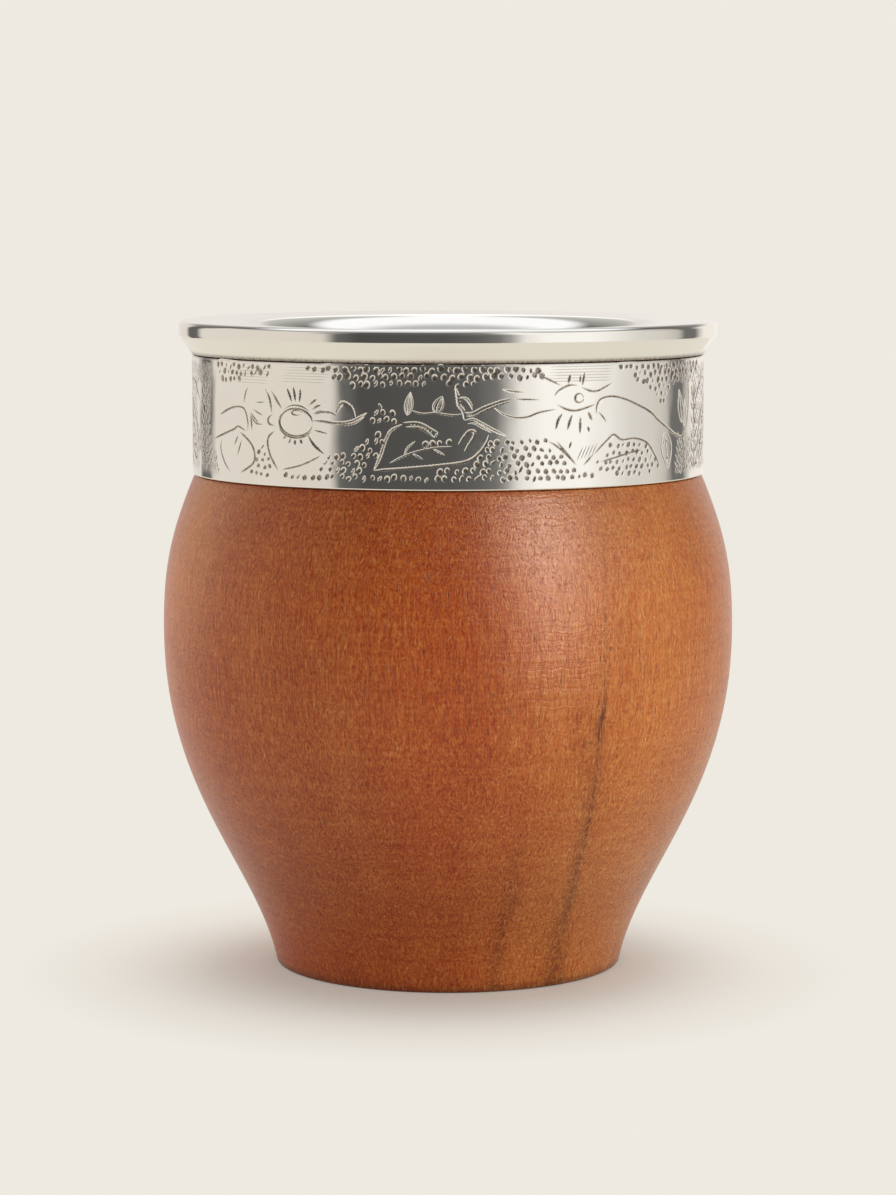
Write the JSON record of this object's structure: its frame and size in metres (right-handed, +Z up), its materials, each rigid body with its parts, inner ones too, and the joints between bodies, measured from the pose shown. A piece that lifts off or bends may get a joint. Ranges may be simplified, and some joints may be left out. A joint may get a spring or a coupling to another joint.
{
  "type": "mate cup",
  "caption": "Turned wooden mate cup with a round belly on a narrow flat foot, an engraved metal band round its neck, a rolled metal lip and a metal-lined mouth.",
  "frame": {"origin": "centre of the foot's flat underside", "axes": "+Z up along the cup's axis of revolution, out of the mouth; -Y faces the camera of the picture"},
  "size_m": [0.0882, 0.0882, 0.1],
  "materials": {
    "oiled_wood": "satin",
    "nickel_silver": "polished"
  },
  "bodies": {
    "root": {"wooden_body": "oiled_wood", "engraved_band": "nickel_silver", "rolled_lip": "nickel_silver", "mouth_sleeve": "nickel_silver"}
  },
  "joints": []
}
